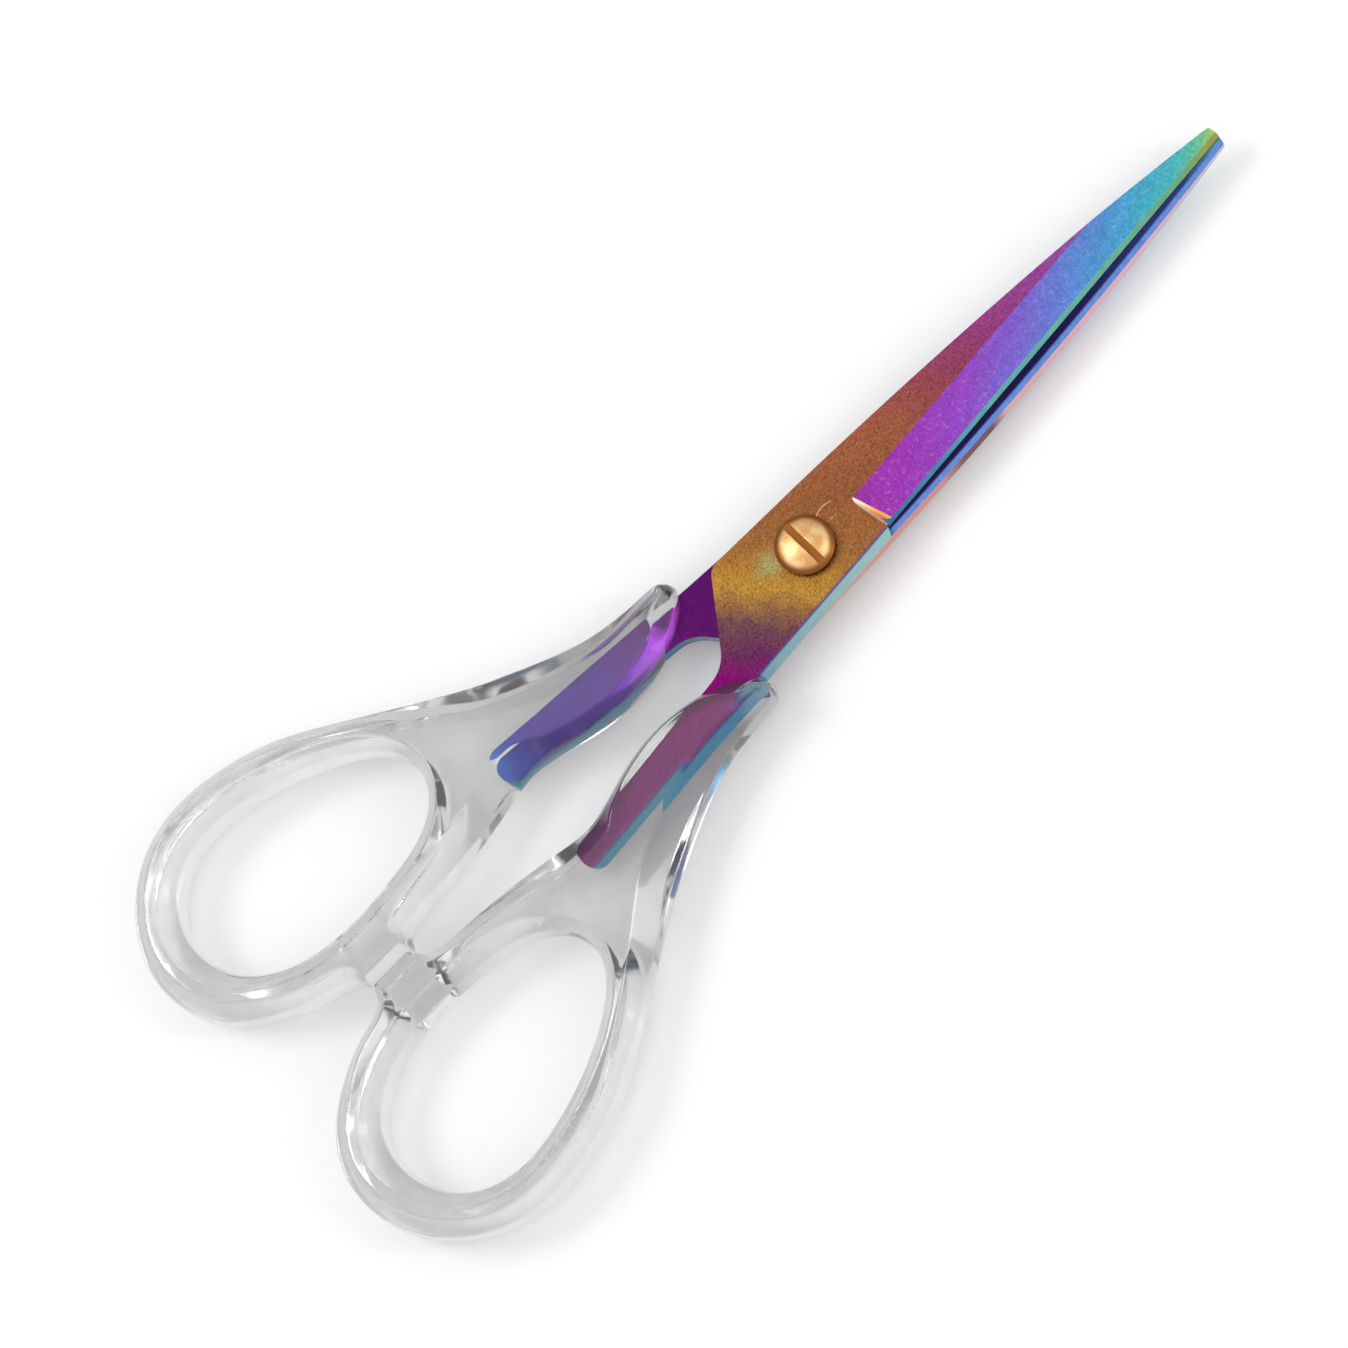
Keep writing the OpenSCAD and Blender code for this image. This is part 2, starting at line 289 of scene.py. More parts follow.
def scratch(x, y, centre, radius, start, end):
    """Thin curved line between two distances along the blade, above a circle's centre."""
    near = abs(distance(x, y, centre) - radius)
    ends = x.step(start, start + 0.3) * (1 - x.step(end - 0.3, end))
    return (1 - near.step(0.05, 0.12)) * ends * y.step(centre[1], centre[1] + 0.1)


def blasted_steel(side, name):
    """Outer flat of a blade, blasted with fine grit, with a pale patch beside the screw."""
    material, place, shader = new_material(name, Metallic=1.0)
    x, y, _ = blade_place(place, side)
    cloud = place.noise(2.4 * MM, 3.0)
    change, grit = mottle(place, 1.5, 0.5)
    colour = along(x + (cloud - 0.5) * 5 + y * 0.8, BLASTED)
    patch = 1 - (distance(x, y, PATCH_PLACE) + cloud * 2).step(1.2, 3.8)
    colour = (patch * 0.85).mix(colour, PATCH)
    above_lower_edge = y - x * LOWER_SLOPE + LOWER_DROP
    colour = ((1 - above_lower_edge.step(0.3, 1.2)) * 0.8).mix(colour, EDGE_PURPLE)
    marks = scratch(x, y, *LONG_SCRATCH) + scratch(x, y, *SHORT_SCRATCH) * 0.5
    colour = (marks * 0.8).mix(colour, SCRATCH)
    feed(shader, "Base Color", lighten(colour, 0.92 + change))
    feed(shader, "Roughness", 0.36 + grit * 0.3)
    bump(shader, grit, 0.05 * MM)
    return material


print("blasted flat:", len(BLASTED), "colour stops")


# %% Ground bevel
GROUND = [(6, (160, 54, 158)), (16, (160, 58, 180)), (26, (150, 72, 194)), (34, (128, 96, 204)),
          (41, (104, 122, 210)), (48, (84, 146, 208)), (54, (72, 162, 200)), (60, (70, 176, 186)),
          (65, (96, 188, 150)), (68.5, (166, 198, 84))]
FLECK = paint(206, 190, 226)


def ground_steel(side, name):
    """Bevel from the grinding wheel, with faint lines across it."""
    material, place, shader = new_material(name, Metallic=1.0)
    x, y, _ = blade_place(place, side)
    cloud = place.noise(5.0 * MM, 2.0)
    stretch = place.node("ShaderNodeMapping", None, {"Vector": place, "Scale": (1, 0.06, 1)})
    lines = stretch.noise(0.22 * MM, 2.0, 0.6) - 0.5
    change, grit = mottle(place, 0.9, 0.5)
    colour = along(x - y * 1.6 + (cloud - 0.5) * 5, GROUND)
    flecks = place.noise(0.5 * MM, 3.0, 0.75).step(0.54, 0.78)
    colour = (flecks * 0.4).mix(colour, FLECK)
    feed(shader, "Base Color", lighten(colour, 0.98 + change + lines * 0.25))
    feed(shader, "Roughness", 0.26 + lines * 0.15)
    bump(shader, lines, 0.006 * MM)
    return material


print("ground bevel:", len(GROUND), "colour stops")


# %% Honed edge
HONED = [(6, (90, 130, 205)), (18, (96, 185, 225)), (28, (130, 228, 226)), (45, (146, 238, 212)),
         (64, (150, 226, 170)), (68.5, (205, 214, 110))]


def honed_steel(side, name):
    """Narrow cutting edge, the brightest and smoothest face."""
    material, place, shader = new_material(name, Metallic=1.0)
    x = blade_place(place, side)[0]
    wave = place.noise(1.5 * MM)
    feed(shader, "Base Color", lighten(along(x + wave * 3, HONED), 0.9 + wave * 0.3))
    feed(shader, "Roughness", 0.16 + wave * 0.1)
    return material


print("honed edge:", len(HONED), "colour stops")


# %% Polished inside and tang
# Stops from 8 to 40 mm are painted shade and reflection: dark navy where the front blade shades the inner
# face and mirrors onto it.
INSIDE_WITH_PAINTED_SHADE = [(-45, (64, 104, 176)), (-42, (62, 70, 160)), (-38, (78, 56, 146)), (-28, (90, 54, 146)),
          (-21, (106, 46, 134)), (-17, (92, 24, 100)), (-10, (88, 22, 98)), (8, (40, 22, 66)),
          (40, (34, 26, 74)), (62, (44, 60, 118)), (69, (80, 150, 170))]
SPINE_GLOW = paint(104, 140, 214)
BLADE_REACH = 68.8
SPINE_RISE = 6.3
SPINE_FALL = 5.05
SPINE_BOW = 0.75


def inside_steel(side, name):
    """Flat inner face, polished, deep violet with a bluer band beside the spine, and painted shade in
    dark navy ahead of the screw, where the front blade shades it and mirrors onto it.
    """
    material, place, shader = new_material(name, Metallic=1.0)
    x, y, _ = blade_place(place, side)
    cloud = place.noise(4.0 * MM, 3.0)
    change, grit = mottle(place, 0.7, 0.5)
    t = x / BLADE_REACH
    below_spine = SPINE_RISE - t * SPINE_FALL + t * (1 - t) * (4 * SPINE_BOW) - y
    # This ramp carries the painted dark navy shade ahead of the screw.
    colour = along(x + (cloud - 0.5) * 6, INSIDE_WITH_PAINTED_SHADE)
    glow = (1 - below_spine.step(0.5, 0.85)) * x.step(2, 6)
    colour = glow.mix(colour, SPINE_GLOW)
    feed(shader, "Base Color", lighten(colour, 1.0 + change))
    feed(shader, "Roughness", 0.2 + grit * 0.15)
    bump(shader, grit, 0.006 * MM)
    return material


print("polished inside and tang:", len(INSIDE_WITH_PAINTED_SHADE), "colour stops")


# %% Sides and step
LOWER_SIDE = [(-45, (50, 150, 170)), (-20, (60, 130, 170)), (-12, (132, 166, 176)),
              (0, (150, 182, 184)), (8, (150, 190, 190)), (68, (120, 200, 190))]
# From 20.5 to 25.5 mm the spine's rose turns dark red: a painted reflection of something dark in the
# curve of the spine.
SPINE_SIDE_WITH_DARK_REFLECTION = [(-45, (60, 180, 190)), (-30, (60, 150, 195)), (-9, (110, 205, 215)),
              (-6, (240, 176, 160)), (17, (232, 150, 140)), (20.5, (110, 24, 34)), (25.5, (100, 20, 34)),
              (28, (246, 184, 186)), (50, (246, 190, 200)), (69, (200, 190, 220))]
SIDE_TOP = paint(56, 50, 140)
# Painted highlight: pale cream along the step's edge beside the flat.
STEP_PAINTED_HIGHLIGHT = paint(255, 238, 196)
STEP_GOLD = paint(255, 170, 66)
BLADE_T = 2.0
BLADE_GAP = 0.1


def side_steel(side, name):
    """Sides of the plate: rosy along the spine with a painted dark reflection in its curve, teal along
    the lower side and the tang.
    """
    material, place, shader = new_material(name, Metallic=1.0)
    x, y, z = blade_place(place, side)
    wave = place.noise(1.2 * MM)
    # The spine ramp carries a painted dark reflection.
    colour = y.step(-1.0, 0.5).mix(along(x, LOWER_SIDE), along(x, SPINE_SIDE_WITH_DARK_REFLECTION))
    rim = z.step(BLADE_T - 0.45, BLADE_T - 0.1) * (1 - y.step(-1.0, 0.5))
    colour = (rim * 0.85).mix(colour, SIDE_TOP)
    feed(shader, "Base Color", lighten(colour, 0.9 + wave * 0.2))
    feed(shader, "Roughness", 0.18 + wave * 0.14)
    return material


def step_steel(side, name):
    """Sloping wall where the grinding stopped, coated thinly, so it stays gold, with a painted highlight
    in pale cream along its edge beside the flat.
    """
    material, place, shader = new_material(name, Metallic=0.55)
    z = blade_place(place, side)[2]
    depth = BLADE_GAP / 2 + BLADE_T - z
    wave = place.noise(0.6 * MM)
    # Painted highlight: pale where the wall meets the flat, gold deeper down.
    colour = (depth + wave * 0.3).step(0.3, 1.2).mix(STEP_PAINTED_HIGHLIGHT, STEP_GOLD)
    feed(shader, "Base Color", lighten(colour, 0.95 + wave * 0.1))
    feed(shader, "Roughness", 0.22 + wave * 0.2)
    return material


print("sides:", len(LOWER_SIDE), "colour stops below and", len(SPINE_SIDE_WITH_DARK_REFLECTION), "along the spine")


# %% [markdown]
# ## Blades
# A blade is flat plate with a wedge ground off one face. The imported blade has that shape
# exactly, so its mesh is copied rather than drawn again. Its triangles are joined back into
# whole faces, each face gets the finish of the tool that made it, and a Bevel modifier takes
# the razor sharpness off the corners, so that they catch the light as real ones do.

# %% Copy a blade and sort its faces
FLAT, BEVEL, HONE, INNER, SIDE, STEP_WALL = range(6)
STEP_FILLET = 0.45 * MM


def face_kind(face, side):
    """Which tool made this face, from the way it looks on the front half."""
    normal = Vector((face.normal.x, face.normal.y * side, face.normal.z * side))
    if normal.z < -0.9:
        return INNER
    if normal.z > 0.995:
        return FLAT
    if normal.z > 0.9:
        return BEVEL
    if normal.z > 0.3 and abs(normal.x) > 0.5:
        return STEP_WALL
    if normal.z > 0.3 and face.calc_center_median().x > pivot.x + 6 * MM:
        return HONE
    return SIDE


def new_piece(name, mesh, finishes=()):
    """Object from a bmesh, at the origin, with its place in its mesh and its finishes."""
    data = bpy.data.meshes.new(name)
    for finish in finishes:
        data.materials.append(finish)
    mesh.to_mesh(data)
    mesh.free()
    piece = bpy.data.objects.new(name, data)
    bpy.context.scene.collection.objects.link(piece)
    return piece


def round_step(mesh):
    """Rounds the hollow corner in which the grinding wheel ran out."""
    corner = [edge for edge in mesh.edges
              if {face.material_index for face in edge.link_faces} == {BEVEL, STEP_WALL}]
    made = bmesh.ops.bevel(mesh, geom=corner, offset=STEP_FILLET, offset_type="OFFSET", segments=5,
                           profile=0.5, affect="EDGES", clamp_overlap=False, material=-1)
    for face in made["faces"]:
        face.material_index = STEP_WALL
        face.smooth = True


def make_blade(node, body, side):
    """Finished blade in place of a packed one. Side is 1 for the front half, -1 for the back."""
    mesh = bmesh.new()
    mesh.from_mesh(frame["nodes"][node].data)
    bmesh.ops.remove_doubles(mesh, verts=mesh.verts, dist=0.001 * MM)
    bmesh.ops.dissolve_limit(mesh, angle_limit=math.radians(0.3), verts=mesh.verts, edges=mesh.edges)
    for face in mesh.faces:
        face.material_index = face_kind(face, side)
        face.smooth = True
    round_step(mesh)
    makers = (blasted_steel, ground_steel, honed_steel, inside_steel, side_steel, step_steel)
    finishes = [maker(side, node + "_" + maker.__name__) for maker in makers]
    piece = new_piece(node + "_steel", mesh, finishes)
    soften(piece, 0.06 * MM, 25)
    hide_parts(node)
    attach(piece, body)
    return piece


def soften(piece, width, angle, segments=2):
    """Bevel modifier on every edge sharper than an angle in degrees."""
    bevel = piece.modifiers.new("softened edges", "BEVEL")
    bevel.limit_method = "ANGLE"
    bevel.angle_limit = math.radians(angle)
    bevel.width = width
    bevel.segments = segments
    piece.modifiers.new("flat faces shade flat", "WEIGHTED_NORMAL")


for node, body, slot, side in (("front_blade", "front_half", "rainbow_steel_front", 1),
                               ("back_blade", "back_half", "rainbow_steel_back", -1)):
    blade = make_blade(node, body, side)
    kinds = [face.material_index for face in blade.data.polygons]
    print(blade.name, "has", len(kinds), "faces:", [kinds.count(kind) for kind in range(6)])


# %% [markdown]
# ## Clear handles
# Each handle is one piece of clear plastic moulded round the tang, with crisp sloping facets
# instead of round edges: a band along the tang, a wide flank outside it, and a slope on each
# side of the finger loop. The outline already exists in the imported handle, so a slice through
# it gives the outline and the finger hole. A filled slice is raised by a series of insets whose
# new corners are placed along a section, which makes the wall, the facet and its soft corners.
# The flat is filled last, a mirror makes the underside, and the front handle is the same shape
# turned half a turn about the long axis.

# %% Slice through a packed handle
SLICE_HEIGHT = 1.5 * MM


def sliced_plate(node, height):
    """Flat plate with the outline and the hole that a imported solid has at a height."""
    mesh = bmesh.new()
    mesh.from_mesh(frame["nodes"][node].data)
    bmesh.ops.remove_doubles(mesh, verts=mesh.verts, dist=0.001 * MM)
    bmesh.ops.bisect_plane(mesh, geom=mesh.verts[:] + mesh.edges[:] + mesh.faces[:],
                           plane_co=(0, 0, height), plane_no=(0, 0, 1),
                           clear_inner=True, clear_outer=True)
    bmesh.ops.dissolve_limit(mesh, angle_limit=math.radians(0.5), verts=mesh.verts, edges=mesh.edges)
    bmesh.ops.translate(mesh, verts=mesh.verts, vec=(0, 0, pivot.z - height))
    return mesh


def loops(mesh):
    """The points of each closed loop of edges, the loop with the most points first."""
    left = set(mesh.verts)
    found = []
    while left:
        chain = [left.pop()]
        for vert in chain:
            for edge in vert.link_edges:
                other = edge.other_vert(vert)
                if other in left:
                    left.remove(other)
                    chain.append(other)
        found.append([vert.co.copy() for vert in chain])
    return sorted(found, key=len, reverse=True)


trial = sliced_plate("back_handle", pivot.z + SLICE_HEIGHT)
print("a slice has loops of", [len(loop) for loop in loops(trial)], "points")
trial.free()


# %% How wide and how deep each facet is
# Stops are distances in mm from the pivot towards the tips, with a width or a depth in mm.
INNER_WIDTH = [(-90, 2.0), (-78, 1.3), (-66, 1.2), (-60, 1.9), (-52, 3.0), (-46, 3.5), (-41, 2.9),
               (-38, 1.4), (-34, 1.2), (-24, 1.0), (-20.5, 1.1), (-18, 2.1), (-16, 2.2), (-14.3, 1.0)]
OUTER_WIDTH = [(-90, 2.0), (-78, 1.5), (-62, 1.5), (-53, 2.0), (-44, 3.3), (-36, 3.7), (-26, 3.0),
               (-17, 1.9), (-14.3, 1.0)]
INNER_DEPTH = [(-90, 2.3), (-66, 2.2), (-52, 2.8), (-44, 3.2), (-38, 2.6), (-14.3, 2.4)]
OUTER_DEPTH = [(-90, 2.3), (-60, 2.3), (-45, 3.0), (-14.3, 2.8)]
HOLE_SIDE_WIDTH = 2.0
HOLE_FAR_EXTRA = 0.8
HOLE_DEPTH = 2.4
FRONT_WIDTH = 0.8
PAD_SHARE = 0.35
WALL_SHARE = 0.38
CREST = 0.22


def smoothstep(value, start, end):
    t = min(1, max(0, (value - start) / (end - start)))
    return t * t * (3 - 2 * t)


def between(stops, x):
    """Value at x, eased from one stop to the next."""
    if x <= stops[0][0]:
        return stops[0][1]
    for (x0, v0), (x1, v1) in zip(stops, stops[1:]):
        if x <= x1:
            return v0 + (v1 - v0) * smoothstep(x, x0, x1)
    return stops[-1][1]


def facet_size(point, inward, outline, hole):
    """Width and depth in mm of the facet at a point of the outline or of the hole."""
    to_outline, to_hole = (min((point - other).length for other in loop) / MM
                           for loop in (outline, hole))
    if to_hole < to_outline:
        width = HOLE_SIDE_WIDTH - HOLE_FAR_EXTRA * inward.x
        return min(width, WALL_SHARE * to_outline), HOLE_DEPTH
    x = (point.x - pivot.x) / MM
    inner = smoothstep(inward.y, -0.5, 0.5)
    width = between(OUTER_WIDTH, x) + inner * (between(INNER_WIDTH, x) - between(OUTER_WIDTH, x))
    depth = between(OUTER_DEPTH, x) + inner * (between(INNER_DEPTH, x) - between(OUTER_DEPTH, x))
    front = smoothstep(-inward.x, 0.4, 0.9) * smoothstep(x, -19, -15)
    width += front * (FRONT_WIDTH - width)
    beside_pad = smoothstep(abs(point.y) / MM, 0.3, 2.2)
    width *= PAD_SHARE + (1 - PAD_SHARE) * beside_pad
    return min(width, WALL_SHARE * to_hole), depth


print("outer facet 30 mm behind the pivot:", round(between(OUTER_WIDTH, -30), 2), "mm wide")


# %% Section of a facet
CORNER_R = 0.35
CORNER_STEPS = 3


def facet_section(width, depth, half_t):
    """Points [inset, height] in mm from the parting line up to the flat top, with soft corners."""
    crest = Vector((0, 0))
    foot = Vector((CREST, half_t - depth))
    brow = Vector((CREST + width, half_t))
    inside = brow + Vector((1, 0))
    points = []
    for before, corner, after in ((crest, foot, brow), (foot, brow, inside)):
        start = (before - corner).normalized() * CORNER_R
        end = (after - corner).normalized() * CORNER_R
        for k in range(CORNER_STEPS + 1):
            t = k / CORNER_STEPS
            points.append(corner + (1 - t) ** 2 * start + t ** 2 * end)
    return points


print("one section has", len(facet_section(3.0, 2.8, 4.5)), "points")


# %% Raise the plate into a handle
EASE_PASSES = 12
FACET_EASE_PASSES = 10
SMALL_INSET = 0.05 * MM


def next_rim(mesh, plate):
    """Insets the plate a little and returns each old corner with its new one."""
    bmesh.ops.inset_region(mesh, faces=plate, thickness=SMALL_INSET, use_boundary=True,
                           use_even_offset=True)
    rim = {vert for face in plate for vert in face.verts}
    return [(edge.other_vert(vert), vert) for vert in rim for edge in vert.link_edges
            if edge.other_vert(vert) not in rim]


def eased(values, beside, passes):
    """Values along a loop, each averaged with its two neighbours' again and again."""
    for _ in range(passes):
        values = {key: value / 2 + sum((values[near] for near in beside[key]), value * 0) / 4
                  for key, value in values.items()}
    return values


def facet_stations(pairs, number, outline, hole, half_t):
    """Start, inward direction and section of the facet at each corner of the plate's rim."""
    starts = {new[number]: old.co.copy() for old, new in pairs}
    facets = {}
    beside = {}
    for old, new in pairs:
        inward = (new.co - old.co).normalized()
        width, depth = facet_size(old.co, inward, outline, hole)
        facets[new[number]] = Vector((inward.x, inward.y, width, depth))
        neighbours = [edge.other_vert(old) for edge in old.link_edges]
        beside[new[number]] = [near[number] for near in neighbours
                               if near is not new and near[number] in starts]
    facets = eased(facets, beside, FACET_EASE_PASSES)
    return {key: (starts[key], Vector((x, y, 0)), facet_section(width, depth, half_t / MM))
            for key, (x, y, width, depth) in facets.items()}


def handle_mesh(node):
    """Faceted handle with the outline of a packed one that lies on +Y."""
    low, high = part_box(node)
    half_t = (high.z - low.z) / 2
    mesh = sliced_plate(node, pivot.z + SLICE_HEIGHT)
    bmesh.ops.subdivide_edges(mesh, edges=mesh.edges, cuts=2)
    for _ in range(EASE_PASSES):
        bmesh.ops.smooth_vert(mesh, verts=mesh.verts, factor=0.5, use_axis_x=True, use_axis_y=True)
    outline, hole = loops(mesh)
    bmesh.ops.triangle_fill(mesh, edges=mesh.edges, normal=(0, 0, 1), use_dissolve=False)
    number = mesh.verts.layers.int.new("station")
    plate = mesh.faces[:]
    for count, vert in enumerate(mesh.verts):
        vert[number] = count
    for level in range(2 * (CORNER_STEPS + 1)):
        pairs = next_rim(mesh, plate)
        if level == 0:
            stations = facet_stations(pairs, number, outline, hole, half_t)
        for old, new in pairs:
            start, inward, section = stations[new[number]]
            new.co = start + inward * section[level].x * MM
            new.co.z = pivot.z + section[level].y * MM
    bmesh.ops.delete(mesh, geom=plate, context="FACES")
    rim = [edge for edge in mesh.edges if edge.is_boundary and edge.verts[0].co.z > pivot.z + half_t / 2]
    bmesh.ops.triangle_fill(mesh, edges=rim, normal=(0, 0, 1), use_dissolve=False)
    bmesh.ops.mirror(mesh, geom=mesh.verts[:] + mesh.edges[:] + mesh.faces[:],
                     matrix=Matrix.Translation(-Vector((0, 0, pivot.z))), merge_dist=0.002 * MM, axis="Z")
    bmesh.ops.remove_doubles(mesh, verts=mesh.verts, dist=0.001 * MM)
    bmesh.ops.recalc_face_normals(mesh, faces=mesh.faces)
    for face in mesh.faces:
        face.smooth = True
    return mesh


def make_handle(node, body, turned):
    """Clear handle. Both are one moulding, and the front one is turned over about the long axis."""
    mesh = handle_mesh("back_handle")
    if turned:
        bmesh.ops.rotate(mesh, verts=mesh.verts, cent=pivot, matrix=Matrix.Rotation(math.pi, 3, "X"))
    piece = new_piece(node + "_clear", mesh, [clear_plastic(node + "_plastic")])
    piece.modifiers.new("flat facets shade flat", "WEIGHTED_NORMAL")
    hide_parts(node)
    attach(piece, body)
    return piece


print("insets from the parting line to the flat:", 2 * (CORNER_STEPS + 1))


# %% Clear plastic
CLOUDY = (0.86, 0.855, 0.85, 1)
CLEAN = (0.93, 0.93, 0.925, 1)
# Painted shade: greyer plastic over the shank, where the shanks shade the floor between them.
SHANK_PAINTED_SHADE = (0.8, 0.795, 0.79, 1)


def clear_plastic(name):
    """Clear acrylic with a little haze, painted shade that greys the shank, and the waviness of a
    moulding.
    """
    material, place, shader = new_material(name, IOR=1.49, Transmission_Weight=0.96)
    x = blade_place(place, 1)[0]
    haze = place.noise(2.5 * MM, 4.0, 0.6)
    swell = place.noise(6.0 * MM, 1.0)
    rubbing = place.noise(0.5 * MM, 2.0, 0.7)
    colour = haze.step(0.3, 0.7).mix(CLOUDY, CLEAN)
    # Painted shade over the shank, from 56 to 36 mm behind the pivot.
    feed(shader, "Base Color", (x.step(-56, -36) * 0.8).mix(colour, SHANK_PAINTED_SHADE))
    feed(shader, "Roughness", 0.05 + haze * 0.1)
    bump(shader, swell * 6 + rubbing * 0.4, 0.008 * MM)
    return material


for node, body, turned in (("front_handle", "front_half", True), ("back_handle", "back_half", False)):
    handle = make_handle(node, body, turned)
    print(handle.name, "has", len(handle.data.polygons), "faces")


# %% [markdown]
# ## Pivot
# The screw is turned brass: a low dome on a thin straight rim with a slot sawn across it. It is
# spun from its profile, as it was turned on a lathe, and the slot is cut with flat planes.

# %% Turned pieces
TURN_STEPS = 96
TINY = 0.001 * MM


def spun(profile, base_z):
    """Closed solid of revolution about the pivot, from [radius, height] points in mm."""
    mesh = bmesh.new()
    points = [mesh.verts.new((pivot.x + r * MM, pivot.y, base_z + h * MM)) for r, h in profile]
    for a, b in zip(points, points[1:]):
        mesh.edges.new((a, b))
    if profile[0][0] > 0:
        mesh.edges.new((points[-1], points[0]))
    bmesh.ops.spin(mesh, geom=mesh.verts[:] + mesh.edges[:], cent=pivot, axis=(0, 0, 1),
                   angle=2 * math.pi, steps=TURN_STEPS, use_merge=True)
    bmesh.ops.remove_doubles(mesh, verts=mesh.verts, dist=0.001 * MM)
    bmesh.ops.recalc_face_normals(mesh, faces=mesh.faces)
    for face in mesh.faces:
        face.smooth = True
    return mesh


def dome_profile(radius, rim, dome, steps=10):
    """Points from the top of a dome out to its straight rim."""
    big = (radius ** 2 + dome ** 2) / (2 * dome)
    reach = math.asin(radius / big)
    arc = [(big * math.sin(reach * k / steps), rim + dome - big * (1 - math.cos(reach * k / steps)))
           for k in range(steps + 1)]
    return arc + [(radius, 0)]


print("a dome has", len(dome_profile(3.65, 0.5, 1.1)), "points in its profile")


# %% Brass
BRASS = paint(222, 166, 106)
BRASS_PALE = paint(244, 206, 150)
BRASS_DEEP = paint(150, 92, 44)


def turned_brass(name, slot_floor=None):
    """Rosy brass with rings from the lathe, darker towards the floor of the slot."""
    material, place, shader = new_material(name, Metallic=1.0)
    x, y, z = place.parts()
    across = distance(x, y, pivot) / MM
    cloud = place.noise(1.6 * MM, 3.0)
    rings = across.node("ShaderNodeCombineXYZ", None, {0: across * MM}).noise(0.12 * MM, 1.0)
    colour = cloud.step(0.35, 0.7).mix(BRASS, BRASS_PALE)
    if slot_floor is not None:
        # Darker within 0.35 mm of the slot's floor.
        slot_floor_dark = 1 - ((z - slot_floor) / MM).step(0.0, 0.35)
        colour = slot_floor_dark.mix(colour, BRASS_DEEP)
    feed(shader, "Base Color", lighten(colour, 0.92 + rings * 0.16))
    feed(shader, "Roughness", 0.32 + cloud * 0.14)
    bump(shader, rings, 0.006 * MM)
    return material


print("brass in linear colour:", [round(v, 3) for v in BRASS])


# %% Slotted screw
SHANK_R = 1.5
SHANK_CHAMFER = 0.25
SEAT_GAP = 0.03
DOME_H = 1.1
SLOT_W = 0.95
SLOT_DEPTH = 0.9


def cut_slot(mesh, width, floor_z):
    """Saws a slot along Y across the top of a dome."""
    for plane, normal in (((pivot.x + width / 2, 0, 0), (1, 0, 0)),
                          ((pivot.x - width / 2, 0, 0), (1, 0, 0)),
                          ((0, 0, floor_z), (0, 0, 1))):
        bmesh.ops.bisect_plane(mesh, geom=mesh.verts[:] + mesh.edges[:] + mesh.faces[:],
                               plane_co=plane, plane_no=normal, dist=0.0001 * MM)
    doomed = [f for f in mesh.faces if abs(f.calc_center_median().x - pivot.x) < width / 2
              and f.calc_center_median().z > floor_z]
    bmesh.ops.delete(mesh, geom=doomed, context="FACES")
    rim = [e for e in mesh.edges if e.is_boundary]
    corners = [v for v in {v for e in rim for v in e.verts}
               if abs(v.co.z - floor_z) < TINY and abs(abs(v.co.x - pivot.x) - width / 2) < TINY]
    floor_lines = []
    for sign in (-1, 1):
        ends = [v for v in corners if (v.co.x - pivot.x) * sign > 0]
        floor_lines.append(mesh.edges.new(ends))
    for sign, line in zip((-1, 1), floor_lines):
        side_x = pivot.x + sign * width / 2
        wall = [e for e in rim if all(abs(v.co.x - side_x) < TINY for v in e.verts)]
        bmesh.ops.contextual_create(mesh, geom=wall + [line])
    ends = [e for e in rim if all(abs(v.co.z - floor_z) < TINY for v in e.verts)]
    bmesh.ops.contextual_create(mesh, geom=ends + floor_lines)
    bmesh.ops.recalc_face_normals(mesh, faces=mesh.faces)


washer_low, washer_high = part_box("spring_washer")
screw_low, screw_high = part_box("pivot_screw")
head_r = (screw_high.x - screw_low.x) / 2 / MM
head_h = (screw_high.z - washer_high.z) / MM - SEAT_GAP
slot_floor = screw_high.z - SLOT_DEPTH * MM
shank_h = (screw_high.z - screw_low.z) / MM
profile = [(0.0, shank_h)] + dome_profile(head_r, shank_h - DOME_H, DOME_H)[1:-1]
profile += [(head_r, shank_h - head_h), (SHANK_R, shank_h - head_h), (SHANK_R, SHANK_CHAMFER),
            (SHANK_R - SHANK_CHAMFER, 0.0), (0.0, 0.0)]
mesh = spun(profile, screw_low.z)
cut_slot(mesh, SLOT_W * MM, slot_floor)
screw = new_piece("pivot_screw_turned", mesh, [turned_brass("screw_brass", slot_floor)])
soften(screw, 0.07 * MM, 30)
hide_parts("pivot_screw")
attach(screw, "back_half")
print("screw head is", round(2 * head_r, 2), "mm across")


# %% Spring washer and sleeve nut
washer_r = (washer_high.x - washer_low.x) / 2 / MM
washer_t = (washer_high.z - washer_low.z) / MM
BORE_R = 2.25
mesh = spun([(BORE_R, 0.08), (BORE_R + 0.1, washer_t), (washer_r - 0.1, washer_t - 0.06),
             (washer_r, washer_t - 0.16), (washer_r, 0.04), (washer_r - 0.06, 0.0), (BORE_R + 0.4, 0.0)],
            washer_low.z)
washer = new_piece("spring_washer_pressed", mesh, [turned_brass("washer_finish")])
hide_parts("spring_washer")
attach(washer, "back_half")

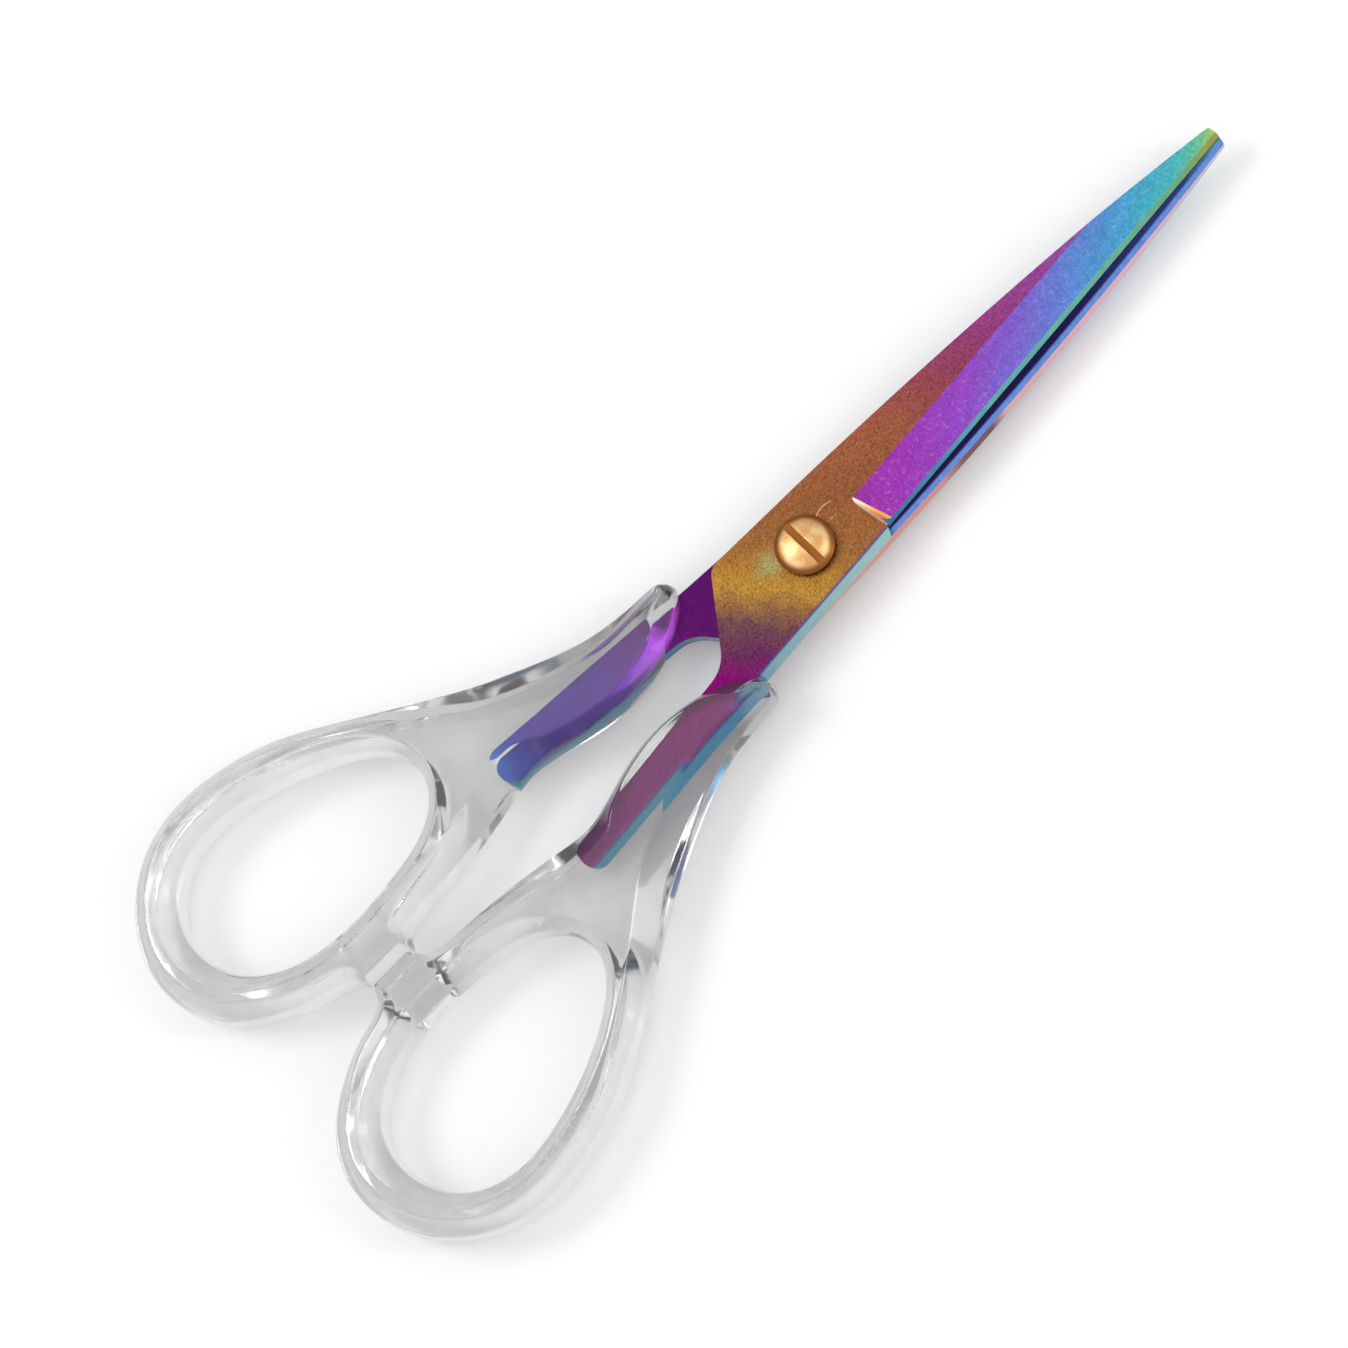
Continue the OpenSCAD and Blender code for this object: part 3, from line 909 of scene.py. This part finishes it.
nut_low, nut_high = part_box("sleeve_nut")
nut_h = (nut_high.z - nut_low.z) / MM
SLEEVE_R = 2.2
INNER_R = SHANK_R + SEAT_GAP
NUT_RIM = 0.5
NUT_HEAD_H = NUT_RIM + DOME_H
NUT_FLOOR = 1.55
DIMPLE_DEPTH = 0.16
DIMPLE_R = 0.35
DIMPLE_LIP = 0.02
outer = [(r, NUT_HEAD_H - h) for r, h in dome_profile(head_r, NUT_RIM, DOME_H)]
profile = [(0.0, DIMPLE_DEPTH), (DIMPLE_R, outer[1][1] + DIMPLE_LIP)] + outer[2:]
profile += [(SLEEVE_R, NUT_HEAD_H), (SLEEVE_R, nut_h), (INNER_R, nut_h), (INNER_R, NUT_FLOOR),
            (0.0, NUT_FLOOR)]
mesh = spun(profile, nut_low.z)
nut = new_piece("sleeve_nut_turned", mesh, [turned_brass("nut_brass")])
soften(nut, 0.07 * MM, 30)
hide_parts("sleeve_nut")
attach(nut, "back_half")


print("washer is", round(washer_t, 2), "mm thick, nut", round(nut_h, 2), "mm high")


# %% [markdown]
# ## Floor and light
# The scissors lie on a white floor under a wide soft sky, as in a light tent. The sky is
# darker near the horizon, so that the sides of the clear plastic pick up grey edges.

# %% Floor
FLOOR_HALF = 1.5
FLOOR_DROP = 0.25 * MM
FLOOR_WHITE = 0.8
FLOOR_LIFT = 0.15


def make_floor():
    """White floor just under the handles, a little lit to lens, gloss and glass."""
    mesh = bmesh.new()
    bmesh.ops.create_grid(mesh, x_segments=2, y_segments=2, size=FLOOR_HALF)
    bmesh.ops.translate(mesh, verts=mesh.verts, vec=(0, 0, -FLOOR_DROP))
    floor = new_piece("floor", mesh)
    material = bpy.data.materials.new("floor_white")
    material.use_nodes = True
    tree = material.node_tree
    tree.nodes.clear()
    lens = Wire(tree, None).node("ShaderNodeLightPath", output="Is Camera Ray")
    gloss = lens.beside("Is Glossy Ray")
    glass = lens.beside("Is Transmission Ray")
    seen = lens.math("MAXIMUM", lens.math("MAXIMUM", lens, gloss), glass)
    paper = seen.node("ShaderNodeBsdfDiffuse", None, {"Color": (FLOOR_WHITE,) * 3 + (1,)})
    glow = seen.node("ShaderNodeEmission", None, {"Color": (1, 1, 1, 1), "Strength": seen * FLOOR_LIFT})
    both = seen.node("ShaderNodeAddShader", None, {0: paper, 1: glow})
    both.node("ShaderNodeOutputMaterial", None, {"Surface": both})
    floor.data.materials.append(material)


make_floor()


print("floor lies at", round(-FLOOR_DROP / MM, 2), "mm")


# %% Sky and lamps
SKY = [(0.0, (0.30, 0.30, 0.31, 1)), (0.2, (0.42, 0.42, 0.43, 1)), (0.45, (0.72, 0.72, 0.72, 1)),
       (0.7, (0.95, 0.95, 0.95, 1)), (1.0, (1.0, 1.0, 1.0, 1))]


def make_sky():
    """Soft sky, dimmer near the horizon, and plain white where the lens looks past the floor."""
    world = bpy.data.worlds.new("studio")
    world.use_nodes = True
    bpy.context.scene.world = world
    tree = world.node_tree
    tree.nodes.clear()
    height = Wire(tree, None).node("ShaderNodeTexCoord", output="Generated").parts()[2]
    sky = height.node("ShaderNodeValToRGB", {"stops": SKY}, {0: height})
    soft = sky.node("ShaderNodeBackground", None, {"Color": sky, "Strength": 1.0})
    white = sky.node("ShaderNodeBackground", None, {"Color": (1, 1, 1, 1), "Strength": 1.0})
    lens = sky.node("ShaderNodeLightPath", output="Is Camera Ray")
    mixed = lens.node("ShaderNodeMixShader", None, {0: lens, 1: soft, 2: white})
    mixed.node("ShaderNodeOutputWorld", None, {"Surface": mixed})


def softbox(name, place, size, power):
    """Square lamp that faces the pivot."""
    lamp = bpy.data.objects.new(name, bpy.data.lights.new(name, "AREA"))
    lamp.data.shape = "RECTANGLE"
    lamp.data.size, lamp.data.size_y = size
    lamp.data.energy = power
    lamp.location = pivot + Vector(place)
    lamp.rotation_euler = Vector(place).to_track_quat("Z", "Y").to_euler()
    bpy.context.scene.collection.objects.link(lamp)


make_sky()
softbox("key", (-0.35, 0.45, 0.75), (0.35, 0.35), 2.2)
softbox("strip", (0.5, -0.5, 0.6), (0.12, 0.5), 1.0)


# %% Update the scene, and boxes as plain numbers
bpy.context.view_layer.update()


def plain(box):
    """A box as plain lists of numbers."""
    return [[float(v) for v in corner] for corner in box]
